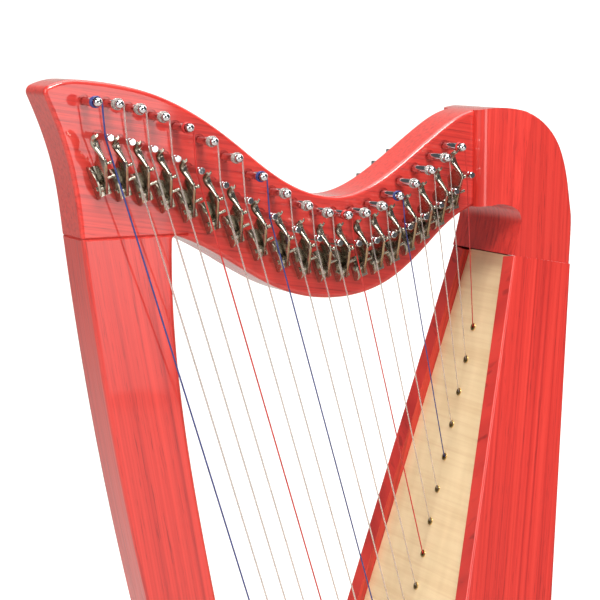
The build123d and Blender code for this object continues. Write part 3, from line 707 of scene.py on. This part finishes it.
winding_turns = 3
points_per_turn = 18
winding_sides = 8
winding_flare = 0.1 * mm        # the first turn starts this far off the pin and settles
winding_pitch = 2.05            # in wire radii, so that turns nearly touch
for run in runs:
    tag = f"{run.number:02d}"
    mesh = make_pin(f"chrome_pin_{tag}", run.pin)
    fix_normals(mesh)
    mesh.polygons.foreach_set("use_smooth", [True] * len(mesh.polygons))
    mesh.set_sharp_from_angle(angle=math.radians(38))
    mesh.materials.append(chrome)
    piece = bpy.data.objects.new(f"chrome_pin_{tag}", mesh)
    scene.collection.objects.link(piece)
    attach(piece, f"pin_{tag}")
    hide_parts(f"tuning_pin_{tag}")

    # the winding ends where its string leaves
    coil = []
    pitch = winding_pitch * run.radius
    for step in range(winding_turns * points_per_turn + 1):
        turn = 2 * math.pi * step / points_per_turn
        flare = winding_flare * max(0.0, 1.0 - step / points_per_turn)
        radius = pin_radius + run.radius + flare
        coil.append(Vector((
            run.pin.x + radius * math.cos(turn),
            run.start.y + pitch * step / points_per_turn,
            run.pin.z + radius * math.sin(turn),
        )))
    colour_name, finish = colour_of(run.number)
    winding = make_wire(f"winding_{tag}", [(coil, run.radius)], finish, winding_sides, 0.0)
    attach(winding, f"pin_{tag}")
print(string_count, "pins and windings,", len(mesh.polygons), "faces in a pin")

# %% [markdown]
# ## Sharpening levers
# Each lever is a kite-shaped nickel plate on a rivet. A fret rod sticks out behind the string,
# a thinner guide rod with a ball stands outside it, and a thumb tab rises from the plate in an
# S. The tab is pressed to a shallow curve across its width, which a straight extrusion can't
# give, so it is built row by row along its path. Everything is drawn in the lever's own frame:
# X along the pivot, minus Y out from the neck and Z up the string.

# %% Lever shapes
# every length in this cell is in millimetres
plate_half = 0.9                # half the plate's thickness
plate_softening = 0.28
plate_outline = [(0.5, -5.2), (-1.5, -4.9), (-17.2, 16.6), (-16.9, 17.8), (-15.4, 18.6),
                 (-9.6, 21.2), (-8.2, 21.0), (1.2, 14.8), (1.8, 13.6), (4.0, 2.6), (3.4, -1.0),
                 (2.0, -3.6)]
tab_path = [(-16.0, 14.6), (-15.6, 17.6), (-12.6, 21.8), (-9.4, 26.0), (-9.6, 30.0),
            (-16.4, 33.6)]
tab_thick = 1.3
tab_bulge = 1.1                 # how far the tab's ridge stands out from its edges
tab_ridge = -0.45               # where the ridge runs, from -1 at the left edge to 1
tab_left = (-0.9, -2.4)         # left edge at the plate and at the widest
tab_right = (0.9, 2.2)
tab_widening = (0.25, 0.45)     # where the tab starts to widen and over how much of its path
tab_rounding = (0.9, 0.11)      # the same for its rounded tip
foot_bulge = 0.35               # share of the bulge that the narrow foot has
rows_per_span = 6
points_across = 9
rod_sides = 14
rod_chamfer = 0.3
fret_rod_radius = 1.0
fret_rod_length = 7.0
guide_rod_radius = 0.75
guide_rod_length = 4.3
guide_ball_radius = 1.25
crease_angle = math.radians(42)
guide_place = (-11.9, 14.5)
fret_place = (-5.3, 5.0)
short_fret_place = (-3.4, 3.5)
first_short_handle = 13


def smooth_path(points, steps):
    """Points on a smooth line through the given (y, z) points."""
    ends = [points[0]] + list(points) + [points[-1]]
    line = []
    for i in range(1, len(ends) - 2):
        a, b, c, d = (Vector(point) for point in ends[i - 1:i + 3])
        for step in range(steps):
            t = step / steps
            line.append(0.5 * (
                2 * b + (c - a) * t + (2 * a - 5 * b + 4 * c - d) * t * t
                + (3 * b - a - 3 * c + d) * t ** 3
            ))
    line.append(Vector(points[-1]))
    return line


def tab_lift(u):
    """Height of the tab's curved section at u, as a share of the bulge."""
    if u < tab_ridge:
        return 1 - ((u - tab_ridge) / (1 + tab_ridge)) ** 2
    return 1 - ((u - tab_ridge) / (1 - tab_ridge)) ** 1.3


def add_plate(work):
    """The kite-shaped plate, with softened edges."""
    back = [work.verts.new((-plate_half, y, z)) for y, z in plate_outline]
    front = [work.verts.new((plate_half, y, z)) for y, z in plate_outline]
    work.faces.new(back)
    work.faces.new(list(reversed(front)))
    rims = []
    for i in range(len(back)):
        after = (i + 1) % len(back)
        side = work.faces.new((back[after], back[i], front[i], front[after]))
        rims += [edge for edge in side.edges if edge not in rims]
    outer = [edge for edge in rims if edge.verts[0].co.x == edge.verts[1].co.x]
    bmesh.ops.bevel(
        work, geom=outer, offset=plate_softening, segments=2, profile=0.5, affect="EDGES"
    )


def add_tab(work):
    """The thumb tab: rows of points across a curved strip."""
    line = smooth_path(tab_path, rows_per_span)
    rings = []
    for i, place in enumerate(line):
        share = i / (len(line) - 1)
        widen = min(1.0, max(0.0, (share - tab_widening[0]) / tab_widening[1]))
        widen = widen * widen * (3 - 2 * widen)
        bulge = tab_bulge * (foot_bulge + (1 - foot_bulge) * widen)
        ahead = line[min(i + 1, len(line) - 1)] - line[max(i - 1, 0)]
        outward = Vector((-ahead.y, ahead.x)).normalized()
        left = tab_left[0] + (tab_left[1] - tab_left[0]) * widen
        right = tab_right[0] + (tab_right[1] - tab_right[0]) * widen
        middle = (left + right) / 2
        rounding = max(0.0, (share - tab_rounding[0]) / tab_rounding[1])
        half = (right - left) / 2 * math.sqrt(max(0.05, 1.0 - rounding ** 2))
        ring = []
        for layer, order in ((1, range(points_across)), (0, reversed(range(points_across)))):
            for j in order:
                u = 2 * j / (points_across - 1) - 1
                spot = place + outward * (bulge * tab_lift(u) + tab_thick * (layer - 0.5))
                ring.append(work.verts.new((middle + half * u, spot.x, spot.y)))
        rings.append(ring)
    count = len(rings[0])
    for first, second in zip(rings, rings[1:]):
        for j in range(count):
            after = (j + 1) % count
            work.faces.new((first[j], first[after], second[after], second[j]))
    for ring in (rings[0], rings[-1]):
        for j in range(points_across - 1):
            work.faces.new((ring[j], ring[j + 1], ring[count - 2 - j], ring[count - 1 - j]))


def add_rod(work, place, length, radius):
    """A rod out of the plate along X, with a chamfered end."""
    rows = [(0.0, radius), (length - rod_chamfer, radius), (length, radius - rod_chamfer)]
    rings = []
    for x, size in rows:
        ring = []
        for side in range(rod_sides):
            turn = 2 * math.pi * side / rod_sides
            y = place[0] + size * math.cos(turn)
            ring.append(work.verts.new((x, y, place[1] + size * math.sin(turn))))
        rings.append(ring)
    for first, second in zip(rings, rings[1:]):
        for side in range(rod_sides):
            after = (side + 1) % rod_sides
            work.faces.new((first[side], first[after], second[after], second[side]))
    work.faces.new(rings[0])
    work.faces.new(rings[-1])


def make_lever(name, run):
    """One lever as a mesh, moved from its own frame to its place on the neck."""
    work = bmesh.new()
    add_plate(work)
    add_tab(work)
    short = run.number >= first_short_handle
    add_rod(
        work, short_fret_place if short else fret_place, fret_rod_length, fret_rod_radius
    )
    add_rod(work, guide_place, guide_rod_length, guide_rod_radius)
    ball_place = Matrix.Translation((guide_rod_length, *guide_place))
    bmesh.ops.create_uvsphere(
        work, u_segments=16, v_segments=10, radius=guide_ball_radius, matrix=ball_place
    )
    bmesh.ops.recalc_face_normals(work, faces=work.faces)
    along = run.sideways
    up = Vector((-along.z, 0.0, along.x))
    turned = Matrix((
        (along.x, 0.0, up.x, run.pivot.x),
        (0.0, 1.0, 0.0, run.pivot.y),
        (along.z, 0.0, up.z, run.pivot.z),
        (0.0, 0.0, 0.0, 1.0),
    ))
    bmesh.ops.transform(work, matrix=turned @ Matrix.Scale(mm, 4), verts=work.verts)
    mesh = bpy.data.meshes.new(name)
    work.to_mesh(mesh)
    work.free()
    mesh.polygons.foreach_set("use_smooth", [True] * len(mesh.polygons))
    mesh.set_sharp_from_angle(angle=crease_angle)
    mesh.materials.append(nickel)
    return mesh


for run in runs:
    tag = f"{run.number:02d}"
    mesh = make_lever(f"nickel_lever_{tag}", run)
    piece = bpy.data.objects.new(mesh.name, mesh)
    scene.collection.objects.link(piece)
    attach(piece, f"lever_{tag}")
    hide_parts(f"lever_{tag}")
print(string_count, "levers,", len(mesh.polygons), "faces in one")
